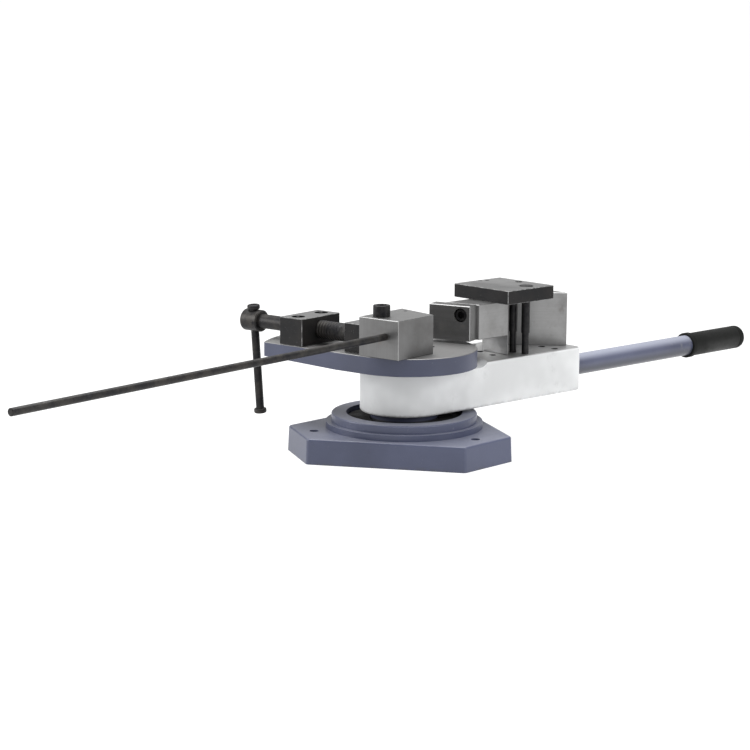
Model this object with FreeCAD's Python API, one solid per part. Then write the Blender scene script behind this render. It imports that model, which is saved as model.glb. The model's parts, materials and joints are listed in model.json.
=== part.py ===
import FreeCAD, Part
import math
import os

# Universal bar bender, bench-mounted.  Millimetres, +Z up.
# Origin: the pivot axis where it meets the bench.  -Y is the side with one long edge of the base.
# Three frames share that axis: the base's own, the table's (turned by TABLE_ANGLE, clamp towards -X,
# bending edge along +Y) and the arm's (turned by ARM_ANGLE, arm pointing along +X).

# ---- driving dimensions -------------------------------------------------------------------------
# base casting
BASE_LONG_SIDE = 122.0        # pivot axis to each of the three long sides, at the top
BASE_SHORT_SIDE = 157.5       # pivot axis to each of the three short sides, at the top
BASE_DRAFT = 1.5              # how far the foot stands out past the top edge
BASE_THICKNESS = 36.0
BASE_WALL = 13.0
BASE_CORNER = 7.0
BOLT_CIRCLE = 133.5           # radius of the bench bolt circle
BOLT_HOLE = 13.0              # for M12 bench bolts
BOLT_BOSS = 19.0
STEP_RING_RADIUS = 112.0
STEP_RING_TOP = 44.5
RING_RADIUS = 104.0
RING_TOP = 56.5
RING_BORE = 83.0
RING_FLOOR = 41.0
BOSS_RADIUS = 48.0
BOSS_TOP = 57.0
# pivot
SHAFT_RADIUS = 25.0
SHAFT_FOOT_RADIUS = 22.0
SHAFT_THREAD_RADIUS = 18.0
SHAFT_FLANGE_RADIUS = 46.0
SHAFT_FLANGE = 12.0
SHAFT_SCREW_CIRCLE = 34.0
SPIGOT_RADIUS = 20.0
NUT_ROOM = 24.0               # depth of the pocket under the boss that takes the shaft's nut
NUT = (55.0, 17.0)            # across flats, height
SHAFT_WASHER = (33.0, 4.0)    # radius, thickness
WASHER_THICKNESS = 2.5
BUSH_WALL = 5.0
BUSH_LENGTH = 20.0
RUNNING_GAP = 0.05            # radial clearance of a turning or sliding fit
# table
TABLE_ANGLE = -26.0
TABLE_TOP = 150.0
TABLE_THICKNESS = 25.0
TABLE_RADIUS = 98.5
TABLE_MIDDLE = (5.0, 1.5)     # centre of the round end, in the table's frame
TABLE_REACH = 206.0           # radius of the far end of the clamp extension
TABLE_END_THICKNESS = 18.0
TABLE_BACK_EDGE = -6.0
# clamp
NUT_BLOCK = (42.0, 84.0, 40.0)
NUT_BLOCK_X = -130.0          # middle of the block in the table's frame
SCREW_SINK = 14.0             # how deep an M12 head's seat lies below the face
CLAMP_Y = -55.0               # spindle axis in the table's frame
SPINDLE_HEIGHT = 21.0         # above the table
SPINDLE_RADIUS = 13.0
SPINDLE_PITCH = 5.0
SHANK_RADIUS = 10.5
SHANK_LENGTH = 66.0
SPINDLE_HUB = (16.0, 31.0)    # radius, length
SPINDLE_HUB_X = -237.0
SPINDLE_TURN = 5.0            # degrees that the tommy bar hangs out of plumb
TOMMY_RADIUS = 6.0
TOMMY_LENGTH = 150.0
KNOB = (9.3, 7.0)             # radius, height
KNOB_GAP = 0.2                # between the upper knob and the hub
KNOB_ROUND = 2.2
TENON = 1.0                   # how much the bar's ends are turned down for the knobs
PUSHER = (28.0, 64.0, 41.5)
PUSHER_X = -39.5              # rear face in the table's frame
PUSHER_LIFT = 0.3
NECK_RADIUS = 8.0
NECK_GROOVE = 3.0
PUSHER_PIN = 3.0              # diameter
PUSHER_GROOVE = 0.35          # share of the block's length at which the pins cross the neck
NECK_REACH = 0.6              # share of the block's length that the neck fills
HUB_DEPTH = 0.9               # share of the hub's length that the shank fills
HUB_PIN_RADIUS = 2.5
HUB_PIN_PLACE = 0.36          # from the hub's middle, as a share of its length
# anvil
ANVIL_WIDTH = 70.0
ANVIL_LENGTH = 97.0
ANVIL_HEIGHT = 55.0
ANVIL_LEFT = -5.0             # clamping face in the table's frame
ANVIL_RELIEF = 18.0           # how far the far corner falls back, for over-bending
ANVIL_SCREW = (18.5, -76.0)
ANVIL_GRUB = (13.5, -16.0)
GRUB_RADIUS = 3.0
ANVIL_GRUB_LENGTH = 10.0
ANVIL_DOWELS = [(50.0, -30.0), (36.0, -84.0)]
DOWEL_RADIUS = 4.0
DOWEL_LENGTH = 24.0
ROD_X = 41.0
ROD_HEIGHT = 31.0
ROD_RADIUS = 5.0
ROD_LENGTH = 720.0
ROD_DEPTH = 40.0
# arm
ARM_ANGLE = 55.6
ARM_LENGTH = 304.0
ARM_HALF_WIDTH = 67.0
HUB_RADIUS = 63.5
ARM_BOTTOM = 59.5
HUB_TOP = 118.0
PAD_TOP = 125.0
PAD_START = 122.0             # radius at which the pad reaches its full height
ARM_WALL = 14.0
ARM_CORNER = 12.0
ARM_EDGE = 4.0
TOOL_HOLE = 10.5              # diameter
ARM_ROOF = 40.0               # metal left over the hollow underside
FLANGE_GAP = 4.0              # radial room round the shaft's flange
NIPPLE_RADIUS = 3.0
NIPPLE_HEX = (9.0, 4.0)       # across flats, height
NIPPLE_TIP = (2.4, 3.2, 10.0)  # neck radius, head radius, stand-out
NIPPLE_ANGLE = 95.0           # round the hub, from the arm's own direction
# forming tool, in the arm's frame: x along the arm, y across it, the pushing side at -y
TOOL_SIDE = 45.0              # side face, from the arm's middle
NOSE_WIDTH = 52.0
TOOL_START = 165.0
TOOL_END = 292.0
TOOL_BACK = 45.0
TOOL_TOP = 205.0
NOSE_BOTTOM = 154.0
TOOL_DOWELS = [(178.0, 2.0), (282.0, 33.0)]
TOOL_BOLTS = [(212.0, 32.0), (262.0, 32.0)]
TOOL_BOLT_DEPTH = 28.0        # how far the bolts stand in the arm
JAW_ANGLE = 19.0
JAW = (22.0, 65.5, 51.0)      # thickness, length, height
JAW_MIDDLE = (71.8, -17.0)    # middle of its working face
JAW_SCREW_OUT = 17.5          # from the jaw's middle, along its face
JAW_SCREW_DROP = 13.5         # below the jaw's top
JAW_SCREW_LENGTH = 32.0
JAW_HEAD_SINK = 1.5
PLATE = (96.0, 110.0, 20.0)   # along, across, thick
PLATE_MIDDLE = (182.5, -18.0)
PIN_RADIUS = 6.2
PIN_FOOT_RADIUS = 5.15
PIN_STEP = 156.0              # height of the step between the two
PIN_DEPTH = 35.0              # how far a pin stands in the arm
BLIND_PIN = (191.0, -30.0)
HEAD_PIN = (194.5, -51.5)
PIN_HEAD = (9.8, 5.0)
FREE_HOLES = [(150.0, -29.0), (157.0, 4.0), (257.5, -26.0), (257.5, -52.0), (191.0, 52.0), (257.5, 55.0)]
PLATE_FREE_HOLE = (217.5, -15.0, 5.6)
PLATE_GRUBS = [(182.5, 31.0), (192.5, 26.0)]
PLATE_GRUB_LENGTH = 12.0
PLATE_BLIND = 0.7             # share of the plate's thickness that the blind pin enters
# lever
LEVER_RADIUS = 16.2
LEVER_WALL = 4.0
LEVER_HEIGHT = 82.0
LEVER_SOCKET = 60.0
LEVER_END = 752.0
GRIP_RADIUS = 18.8
GRIP_START = 626.0
GRIP_END = 762.0
GRIP_COLLAR = (1.5, 9.0)      # how far it stands out, length
GRIP_ROUND = 0.45             # end rounding as a share of the grip's radius
PLUG_LENGTH = 25.0
LEVER_SCREW_RADIUS = 5.0
EDGE = 0.8                    # broken edge of machined blocks

# socket-head cap screws: shank radius, head radius, head height, socket across flats
CAP = {6: (3.0, 5.0, 6.0, 5.0), 8: (4.0, 6.5, 8.0, 6.0), 10: (5.0, 8.0, 10.0, 8.0),
       12: (6.0, 9.0, 12.0, 10.0), 16: (8.0, 12.0, 16.0, 14.0)}
COUNTERBORE_GAP = 1.0         # radial room round a screw head in its counterbore
SOCKET_DEPTH = 0.5            # share of the head that the hexagon takes

Z = FreeCAD.Vector(0, 0, 1)
ORIGIN = FreeCAD.Vector(0, 0, 0)
ALONG = FreeCAD.Vector(1, 0, 0)
TABLE_BOTTOM = TABLE_TOP - TABLE_THICKNESS
FLANGE_BOTTOM = TABLE_BOTTOM - SHAFT_FLANGE
HUB_SEAT = FLANGE_BOTTOM - WASHER_THICKNESS
HUB_BORE = SHAFT_RADIUS + BUSH_WALL
CLAMP_Z = TABLE_TOP + SPINDLE_HEIGHT
NUT_BLOCK_SEAT = TABLE_TOP + NUT_BLOCK[2] - SCREW_SINK
PUSHER_FRONT = PUSHER_X + PUSHER[0]
TOMMY_TOP = CLAMP_Z + SPINDLE_HUB[0] + KNOB_GAP
VEE_DEPTH = (TOOL_END - TOOL_START) / 2
NIPPLE_SEAT = FreeCAD.Vector(HUB_RADIUS, 0, (ARM_BOTTOM + HUB_TOP) / 2)


# ---- small helpers ------------------------------------------------------------------------------
def vec(x, y, z=0.0):
    return FreeCAD.Vector(x, y, z)


def cylinder(radius, height, at, axis=Z):
    return Part.makeCylinder(radius, height, at, axis)


def tube(outer, inner, height, at, axis=Z):
    return cylinder(outer, height, at, axis).cut(cylinder(inner, height, at, axis))


def box(low, high):
    return Part.makeBox(high[0] - low[0], high[1] - low[1], high[2] - low[2], vec(*low))


def prism(points, bottom, top):
    corners = [vec(x, y, bottom) for x, y in points]
    face = Part.Face(Part.makePolygon(corners + corners[:1]))
    return face.extrude(vec(0, 0, top - bottom))


def hexagon(across_flats, height, at, axis=Z):
    radius = across_flats / math.sqrt(3)
    points = [(radius * math.cos(math.radians(60 * i)), radius * math.sin(math.radians(60 * i)))
              for i in range(6)]
    body = prism(points, 0, height)
    body.Placement = FreeCAD.Placement(at, FreeCAD.Rotation(Z, axis))
    return body


def turned(shape, angle, about=ORIGIN, axis=Z):
    copy = shape.copy()
    copy.rotate(about, axis, angle)
    return copy


def on_table(shape):
    return turned(shape, TABLE_ANGLE)


def on_arm(shape):
    return turned(shape, ARM_ANGLE)


def chamfer_all(shape, size=EDGE):
    return shape.makeChamfer(size, shape.Edges)


def cap_screw(size, length, seat, axis=Z):
    """Socket-head cap screw: seat is the middle of the head's underside, axis points out of the head."""
    shank, head, height, flats = CAP[size]
    socket = height * SOCKET_DEPTH
    body = cylinder(head, height, seat, axis)
    rim = [edge for edge in body.Edges if (edge.CenterOfMass - seat - axis * height).Length < EDGE]
    body = body.makeChamfer(EDGE, rim)
    body = body.cut(hexagon(flats, socket + EDGE, seat + axis * (height - socket), axis))
    return body.fuse(cylinder(shank, length, seat - axis * length, axis))


def screw_hole(size, length, seat, axis=Z, depth=60.0):
    """Clearance hole with a counterbore that starts at the head's seat and runs outwards."""
    shank, head, height, flats = CAP[size]
    bore = cylinder(head + COUNTERBORE_GAP, depth, seat, axis)
    return bore.fuse(cylinder(shank, length, seat - axis * length, axis))


def grub_screw(radius, length, top, axis=Z):
    body = cylinder(radius, length, top - axis * length, axis)
    return body.cut(hexagon(radius, length, top - axis * (length * SOCKET_DEPTH), axis))


def save(name, shapes):
    solids = [solid for shape in shapes for solid in shape.Solids]
    result = solids[0] if len(solids) == 1 else Part.makeCompound(solids)
    result.exportStep("parts/" + name + ".step")


# ---- base ---------------------------------------------------------------------------------------
def six_sides(outset):
    """Corners of the base: three long sides facing -90, 30 and 150 degrees, three short ones between."""
    sides = []
    for i in range(3):
        sides.append((-90 + 120 * i, BASE_LONG_SIDE + outset))
        sides.append((-30 + 120 * i, BASE_SHORT_SIDE + outset))
    corners = []
    for i in range(6):
        (a, p), (b, q) = sides[i - 1], sides[i]
        a, b = math.radians(a), math.radians(b)
        det = math.sin(b - a)
        corners.append(((p * math.sin(b) - q * math.sin(a)) / det,
                        (q * math.cos(a) - p * math.cos(b)) / det))
    return corners


def bolt_places():
    for i in range(3):
        angle = math.radians(-30 + 120 * i)
        yield vec(BOLT_CIRCLE * math.cos(angle), BOLT_CIRCLE * math.sin(angle))


def ring_wire(outset, height):
    corners = [vec(x, y, height) for x, y in six_sides(outset)]
    return Part.makePolygon(corners + corners[:1])


def base_casting():
    roof = BASE_THICKNESS - BASE_WALL
    foot = Part.makeLoft([ring_wire(BASE_DRAFT, 0), ring_wire(0, BASE_THICKNESS)], True, True)
    sides = [edge for edge in foot.Edges if abs(edge.BoundBox.ZLength - BASE_THICKNESS) < 1]
    foot = foot.makeFillet(BASE_CORNER, sides)
    top = [edge for edge in foot.Edges if edge.BoundBox.ZMin > BASE_THICKNESS - 0.1]
    foot = foot.makeFillet(BASE_DRAFT * 2, top)
    hollow = prism(six_sides(-BASE_WALL), -1, roof)
    keep = cylinder(BOSS_RADIUS, BASE_THICKNESS, ORIGIN)
    for place in bolt_places():
        keep = keep.fuse(cylinder(BOLT_BOSS, BASE_THICKNESS, place))
    for i in range(6):
        rib = box((0, -BASE_WALL / 4, 0), (BASE_SHORT_SIDE - BASE_WALL / 2, BASE_WALL / 4, BASE_THICKNESS))
        keep = keep.fuse(turned(rib, 30 + 60 * i))
    body = foot.cut(hollow.cut(keep))
    body = body.fuse(cylinder(STEP_RING_RADIUS, STEP_RING_TOP - 1, vec(0, 0, 1)).common(
        box((-999, -999, roof), (999, 999, 99))))
    ring = cylinder(RING_RADIUS, RING_TOP - BASE_THICKNESS, vec(0, 0, BASE_THICKNESS))
    ring = ring.makeFillet(2, [edge for edge in ring.Edges if edge.BoundBox.ZMin > RING_TOP - 0.1])
    body = body.fuse(ring).cut(cylinder(RING_BORE, RING_TOP, vec(0, 0, RING_FLOOR)))
    body = body.fuse(cylinder(BOSS_RADIUS, BOSS_TOP - roof, vec(0, 0, roof)))
    body = body.cut(cylinder(SHAFT_FOOT_RADIUS, BOSS_TOP + 2, vec(0, 0, -1)))
    body = body.cut(cylinder(BOSS_RADIUS - BASE_WALL / 2, NUT_ROOM + 1, vec(0, 0, -1)))
    for place in bolt_places():
        body = body.cut(cylinder(BOLT_HOLE / 2, BASE_THICKNESS + 2, place - Z))
    return body


# ---- pivot --------------------------------------------------------------------------------------
def shaft_screw_places():
    for i in range(4):
        angle = math.radians(45 + 90 * i)
        yield vec(SHAFT_SCREW_CIRCLE * math.cos(angle), SHAFT_SCREW_CIRCLE * math.sin(angle))


def pivot_shaft():
    body = cylinder(SHAFT_THREAD_RADIUS, NUT_ROOM, vec(0, 0, 2))
    body = body.fuse(cylinder(SHAFT_FOOT_RADIUS, BOSS_TOP - NUT_ROOM, vec(0, 0, NUT_ROOM)))
    body = body.fuse(cylinder(SHAFT_RADIUS, FLANGE_BOTTOM - BOSS_TOP, vec(0, 0, BOSS_TOP)))
    body = body.fuse(cylinder(SHAFT_FLANGE_RADIUS, SHAFT_FLANGE, vec(0, 0, FLANGE_BOTTOM)))
    body = body.fuse(cylinder(SPIGOT_RADIUS, TABLE_THICKNESS - 1, vec(0, 0, TABLE_BOTTOM)))
    for place in shaft_screw_places():
        body = body.cut(cylinder(CAP[10][0], SHAFT_FLANGE + 2, place + vec(0, 0, FLANGE_BOTTOM - 1)))
    return on_table(body)


def table_screws():
    seat = TABLE_TOP - CAP[10][2] - 1
    return [on_table(cap_screw(10, seat - FLANGE_BOTTOM - 1, place + vec(0, 0, seat)))
            for place in shaft_screw_places()]


def shaft_washer():
    return tube(SHAFT_WASHER[0], SHAFT_THREAD_RADIUS, SHAFT_WASHER[1], vec(0, 0, NUT_ROOM - SHAFT_WASHER[1]))


def shaft_nut():
    bottom = NUT_ROOM - SHAFT_WASHER[1] - NUT[1]
    nut = hexagon(NUT[0], NUT[1], vec(0, 0, bottom))
    return nut.cut(cylinder(SHAFT_THREAD_RADIUS, NUT[1] + 2, vec(0, 0, bottom - 1)))


def thrust_washer(bottom):
    return tube(SHAFT_FLANGE_RADIUS - 2, SHAFT_RADIUS + RUNNING_GAP, WASHER_THICKNESS, vec(0, 0, bottom))


def bush(bottom):
    return tube(HUB_BORE, SHAFT_RADIUS + RUNNING_GAP, BUSH_LENGTH, vec(0, 0, bottom))


# ---- table, clamp and anvil, in the table's frame -----------------------------------------------
def table_outline():
    """Round end, straight front edge tangent to it, far end struck from the pivot, narrower back."""
    middle = vec(*TABLE_MIDDLE)
    front, back = middle.y - TABLE_RADIUS, TABLE_BACK_EDGE
    far_front = vec(-math.sqrt(TABLE_REACH ** 2 - front ** 2), front)
    far_back = vec(-math.sqrt(TABLE_REACH ** 2 - back ** 2), back)
    join = vec(middle.x - math.sqrt(TABLE_RADIUS ** 2 - (back - middle.y) ** 2), back)
    tangent = vec(middle.x, front)
    turn = math.atan2(far_front.y + far_back.y, far_front.x + far_back.x)
    edges = [Part.LineSegment(tangent, far_front),
             Part.Arc(far_front, vec(TABLE_REACH * math.cos(turn), TABLE_REACH * math.sin(turn)), far_back),
             Part.LineSegment(far_back, join),
             Part.Arc(join, middle + vec(TABLE_RADIUS, 0), tangent)]
    return Part.Wire([edge.toShape() for edge in edges])


def block_screw_places():
    for side in (-1, 1):
        yield vec(NUT_BLOCK_X, CLAMP_Y + side * NUT_BLOCK[1] * 0.3)


def table_plate():
    body = Part.Face(table_outline()).extrude(vec(0, 0, TABLE_THICKNESS))
    corners = [edge for edge in body.Edges if edge.BoundBox.ZLength > TABLE_THICKNESS - 1
               and edge.BoundBox.XMax < -TABLE_REACH / 2]
    body = body.makeFillet(6, corners)
    body.translate(vec(0, 0, TABLE_BOTTOM))
    slope = TABLE_THICKNESS - TABLE_END_THICKNESS
    wedge = Part.Face(Part.makePolygon([vec(0, 0, -1), vec(0, 0, 0), vec(-TABLE_REACH, 0, slope),
                                        vec(-TABLE_REACH, 0, -1), vec(0, 0, -1)]))
    wedge = wedge.extrude(vec(0, 2 * TABLE_REACH, 0))
    wedge.translate(vec(-SHAFT_FLANGE_RADIUS - 1, -TABLE_REACH, TABLE_BOTTOM))
    body = body.cut(wedge)
    rim = [edge for edge in body.Edges if edge.BoundBox.ZMin > TABLE_TOP - 0.1]
    body = body.makeChamfer(EDGE, rim)
    body = body.cut(cylinder(SPIGOT_RADIUS, TABLE_THICKNESS + 2, vec(0, 0, TABLE_BOTTOM - 1)))
    for place in shaft_screw_places():
        seat = TABLE_TOP - CAP[10][2] - 1
        body = body.cut(screw_hole(10, TABLE_THICKNESS, place + vec(0, 0, seat)))
    for place in block_screw_places():
        body = body.cut(cylinder(CAP[12][0], TABLE_THICKNESS + 2, place + vec(0, 0, TABLE_BOTTOM - 1)))
    body = body.cut(cylinder(CAP[16][0], TABLE_THICKNESS + 2, vec(*ANVIL_SCREW, TABLE_BOTTOM - 1)))
    for place in ANVIL_DOWELS:
        body = body.cut(cylinder(DOWEL_RADIUS, DOWEL_LENGTH / 2, vec(*place, TABLE_TOP - DOWEL_LENGTH / 2)))
    return on_table(body)


def nut_block():
    length, width, height = NUT_BLOCK
    body = box((NUT_BLOCK_X - length / 2, CLAMP_Y - width / 2, TABLE_TOP),
               (NUT_BLOCK_X + length / 2, CLAMP_Y + width / 2, TABLE_TOP + height))
    body = chamfer_all(body)
    body = body.cut(cylinder(SPINDLE_RADIUS + RUNNING_GAP, length + 2,
                             vec(NUT_BLOCK_X - length / 2 - 1, CLAMP_Y, CLAMP_Z), ALONG))
    for place in block_screw_places():
        body = body.cut(screw_hole(12, height, place + vec(0, 0, NUT_BLOCK_SEAT)))
    return on_table(body)


def nut_block_screws():
    length = NUT_BLOCK_SEAT - TABLE_BOTTOM - 8
    return [on_table(cap_screw(12, length, place + vec(0, 0, NUT_BLOCK_SEAT)))
            for place in block_screw_places()]


def on_spindle(shape):
    """Turn a piece that rides on the spindle by the angle at which the tommy bar hangs."""
    return on_table(turned(shape, SPINDLE_TURN, vec(0, CLAMP_Y, CLAMP_Z), ALONG))


def clamp_spindle():
    hub_radius, hub_length = SPINDLE_HUB
    start = SPINDLE_HUB_X + hub_length / 2
    thread_start = start + SHANK_LENGTH
    tip = PUSHER_X + PUSHER[0] * NECK_REACH
    thread_end = PUSHER_X - 1
    body = cylinder(SHANK_RADIUS, thread_start - start + hub_length * HUB_DEPTH,
                    vec(start - hub_length * HUB_DEPTH, CLAMP_Y, CLAMP_Z), ALONG)
    thread = cylinder(SPINDLE_RADIUS, thread_end - thread_start, vec(thread_start, CLAMP_Y, CLAMP_Z), ALONG)
    body = body.fuse(thread)
    body = body.fuse(cylinder(NECK_RADIUS, tip - thread_end, vec(thread_end, CLAMP_Y, CLAMP_Z), ALONG))
    groove = tube(NECK_RADIUS + 1, NECK_RADIUS - PUSHER_PIN / 2, NECK_GROOVE * 2,
                  vec(PUSHER_X + PUSHER[0] * PUSHER_GROOVE - NECK_GROOVE, CLAMP_Y, CLAMP_Z), ALONG)
    body = body.cut(groove)
    body = body.cut(cylinder(TOMMY_RADIUS + RUNNING_GAP, 4 * hub_radius,
                             vec(SPINDLE_HUB_X, CLAMP_Y, CLAMP_Z - 2 * hub_radius)))
    return on_spindle(body.cut(hub_pin_blank()))


def hub_pin_blank():
    hub_radius, hub_length = SPINDLE_HUB
    start = vec(SPINDLE_HUB_X + hub_length * HUB_PIN_PLACE, CLAMP_Y - hub_radius, CLAMP_Z)
    return cylinder(HUB_PIN_RADIUS, 2 * hub_radius, start, vec(0, 1, 0))


def hub_pin():
    hub_radius, hub_length = SPINDLE_HUB
    start = vec(SPINDLE_HUB_X - hub_length / 2, CLAMP_Y, CLAMP_Z)
    inside = cylinder(hub_radius - 0.2, hub_length, start, ALONG)
    return on_spindle(hub_pin_blank().common(inside))


def spindle_hub():
    hub_radius, hub_length = SPINDLE_HUB
    middle = vec(SPINDLE_HUB_X, CLAMP_Y, CLAMP_Z)
    body = cylinder(hub_radius, hub_length, middle - ALONG * (hub_length / 2), ALONG)
    body = body.makeChamfer(1.5, [edge for edge in body.Edges if edge.BoundBox.XLength < 0.1])
    body = body.cut(cylinder(SHANK_RADIUS, hub_length * HUB_DEPTH + 1,
                             middle - ALONG * (hub_length * (HUB_DEPTH - 0.5)), ALONG))
    body = body.cut(cylinder(TOMMY_RADIUS + RUNNING_GAP, 4 * hub_radius, middle - Z * (2 * hub_radius)))
    return on_spindle(body.cut(hub_pin_blank()))


def knob(bottom):
    radius, height = KNOB
    body = cylinder(radius, height, vec(SPINDLE_HUB_X, CLAMP_Y, bottom))
    body = body.makeFillet(KNOB_ROUND, [edge for edge in body.Edges if edge.BoundBox.ZLength < 0.1])
    return body.cut(cylinder(TOMMY_RADIUS - TENON, height + 2, vec(SPINDLE_HUB_X, CLAMP_Y, bottom - 1)))


def tommy_bar():
    middle = vec(SPINDLE_HUB_X, CLAMP_Y)
    body = cylinder(TOMMY_RADIUS, TOMMY_LENGTH, middle + Z * (TOMMY_TOP - TOMMY_LENGTH))
    body = body.fuse(cylinder(TOMMY_RADIUS - TENON, TOMMY_LENGTH + 2 * (KNOB[1] - TENON),
                              middle + Z * (TOMMY_TOP - TOMMY_LENGTH - KNOB[1] + TENON)))
    return on_spindle(body)


def tommy_knobs():
    return [on_spindle(knob(TOMMY_TOP)), on_spindle(knob(TOMMY_TOP - TOMMY_LENGTH - KNOB[1]))]


def pusher_pin_places():
    for side in (-1, 1):
        yield vec(PUSHER_X + PUSHER[0] * PUSHER_GROOVE, CLAMP_Y + side * (NECK_RADIUS + PUSHER_PIN / 2 - 1))


def pusher_block():
    length, width, height = PUSHER
    bottom = TABLE_TOP + PUSHER_LIFT
    body = box((PUSHER_X, CLAMP_Y - width / 2, bottom), (PUSHER_FRONT, CLAMP_Y + width / 2, bottom + height))
    body = chamfer_all(body)
    body = body.cut(cylinder(NECK_RADIUS + RUNNING_GAP, length * NECK_REACH + 2,
                             vec(PUSHER_X - 1, CLAMP_Y, CLAMP_Z), ALONG))
    for place in pusher_pin_places():
        body = body.cut(cylinder(PUSHER_PIN / 2, height, place + Z * (bottom + height / 6)))
    return on_table(body)


def pusher_pins():
    height = PUSHER[2]
    bottom = TABLE_TOP + PUSHER_LIFT
    return [on_table(cylinder(PUSHER_PIN / 2, height * 2 / 3, place + Z * (bottom + height / 6)))
            for place in pusher_pin_places()]


def anvil_block():
    left, front = ANVIL_LEFT, -ANVIL_LENGTH
    right = left + ANVIL_WIDTH
    body = prism([(left, front), (right, front), (right, -ANVIL_RELIEF), (left, 0)], TABLE_TOP,
                 TABLE_TOP + ANVIL_HEIGHT)
    body = chamfer_all(body)
    top = TABLE_TOP + ANVIL_HEIGHT
    body = body.cut(cylinder(CAP[16][0], ANVIL_HEIGHT + 2, vec(*ANVIL_SCREW, TABLE_TOP - 1)))
    grub_bottom = vec(*ANVIL_GRUB, top - ANVIL_GRUB_LENGTH - 1)
    body = body.cut(cylinder(GRUB_RADIUS, ANVIL_GRUB_LENGTH + 2, grub_bottom))
    body = body.cut(cylinder(ROD_RADIUS, ROD_DEPTH + 1, vec(ROD_X, front - 1, TABLE_TOP + ROD_HEIGHT),
                             vec(0, 1, 0)))
    for place in ANVIL_DOWELS:
        body = body.cut(cylinder(DOWEL_RADIUS, DOWEL_LENGTH / 2, vec(*place, TABLE_TOP)))
    return on_table(body)


def anvil_dowels():
    return [on_table(cylinder(DOWEL_RADIUS, DOWEL_LENGTH, vec(*place, TABLE_TOP - DOWEL_LENGTH / 2)))
            for place in ANVIL_DOWELS]


def anvil_screw():
    seat = TABLE_TOP + ANVIL_HEIGHT
    return on_table(cap_screw(16, seat - TABLE_BOTTOM - 2, vec(*ANVIL_SCREW, seat)))


def anvil_grub():
    top = TABLE_TOP + ANVIL_HEIGHT - 1
    return on_table(grub_screw(GRUB_RADIUS, ANVIL_GRUB_LENGTH, vec(*ANVIL_GRUB, top)))


def stop_rod():
    start = -ANVIL_LENGTH + ROD_DEPTH
    body = cylinder(ROD_RADIUS, ROD_LENGTH, vec(ROD_X, start, TABLE_TOP + ROD_HEIGHT), vec(0, -1, 0))
    ends = [edge for edge in body.Edges if edge.BoundBox.YLength < 0.1]
    return on_table(body.makeChamfer(EDGE, ends))


# ---- arm and its forming tool, in the arm's frame -----------------------------------------------
def arm_blank():
    """Half-round at the pivot, sides running straight from it to the square end, edges softened."""
    reach = math.hypot(ARM_LENGTH, ARM_HALF_WIDTH)
    flare = math.atan2(ARM_HALF_WIDTH, ARM_LENGTH) - math.asin(HUB_RADIUS / reach)
    touch = (-HUB_RADIUS * math.sin(flare), HUB_RADIUS * math.cos(flare))
    right, left = vec(touch[0], -touch[1]), vec(*touch)
    end_right, end_left = vec(ARM_LENGTH, -ARM_HALF_WIDTH), vec(ARM_LENGTH, ARM_HALF_WIDTH)
    edges = [Part.Arc(left, vec(-HUB_RADIUS, 0), right), Part.LineSegment(right, end_right),
             Part.LineSegment(end_right, end_left), Part.LineSegment(end_left, left)]
    body = Part.Face(Part.Wire([edge.toShape() for edge in edges])).extrude(Z * (PAD_TOP - ARM_BOTTOM))
    body.translate(Z * ARM_BOTTOM)
    corners = [edge for edge in body.Edges if edge.BoundBox.ZLength > PAD_TOP - ARM_BOTTOM - 1
               and edge.BoundBox.XMin > ARM_LENGTH / 2]
    body = body.makeFillet(ARM_CORNER, corners)
    return body.makeFillet(ARM_EDGE, [edge for edge in body.Edges if edge.BoundBox.ZLength < 0.1])


def pad_scoop():
    """What is turned away round the table: flat over the hub, then a hollow curve up to the pad."""
    start = TABLE_RADIUS + 6
    bend = Part.Arc(vec(start, 0, HUB_TOP), vec((start + PAD_START) / 2 + 3, 0, HUB_TOP + 2),
                    vec(PAD_START, 0, PAD_TOP)).toShape()
    above = PAD_TOP + 5
    rest = Part.makePolygon([vec(PAD_START, 0, PAD_TOP), vec(PAD_START, 0, above), vec(0, 0, above),
                             vec(0, 0, HUB_TOP), vec(start, 0, HUB_TOP)])
    return Part.Face(Part.Wire([bend] + rest.Edges)).revolve(ORIGIN, Z, 360)


def swing_arm():
    body = arm_blank().cut(pad_scoop())
    roof = PAD_TOP - ARM_ROOF
    hollow = box((HUB_RADIUS + ARM_WALL, -ARM_HALF_WIDTH + ARM_WALL, ARM_BOTTOM - 1),
                 (ARM_LENGTH - LEVER_SOCKET - ARM_WALL, ARM_HALF_WIDTH - ARM_WALL, roof))
    rib = box((HUB_RADIUS, -ARM_WALL / 2, ARM_BOTTOM), (ARM_LENGTH, ARM_WALL / 2, PAD_TOP))
    body = body.cut(hollow.cut(rib))
    body = body.cut(cylinder(HUB_BORE, PAD_TOP, ORIGIN))
    body = body.cut(cylinder(SHAFT_FLANGE_RADIUS + FLANGE_GAP, PAD_TOP, vec(0, 0, HUB_SEAT)))
    socket_end = vec(ARM_LENGTH - LEVER_SOCKET, 0, LEVER_HEIGHT)
    body = body.cut(cylinder(LEVER_RADIUS, LEVER_SOCKET + 1, socket_end, ALONG))
    for x, y in tool_hole_places():
        body = body.cut(cylinder(TOOL_HOLE / 2, PIN_DEPTH + 1, vec(x, y, PAD_TOP - PIN_DEPTH)))
    body = body.cut(lever_screw_blank())
    for x, y in TOOL_DOWELS:
        body = body.cut(cylinder(DOWEL_RADIUS, DOWEL_LENGTH / 2, vec(x, y, PAD_TOP - DOWEL_LENGTH / 2)))
    for x, y in TOOL_BOLTS:
        body = body.cut(cylinder(CAP[12][0], PAD_TOP, vec(x, y, PAD_TOP - TOOL_BOLT_DEPTH - 2)))
    nipple_bore = cylinder(NIPPLE_RADIUS, ARM_WALL * 3, NIPPLE_SEAT, -ALONG)
    body = body.cut(turned(nipple_bore, NIPPLE_ANGLE))
    return on_arm(body)


def tool_hole_places():
    return [BLIND_PIN, HEAD_PIN] + FREE_HOLES


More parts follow.
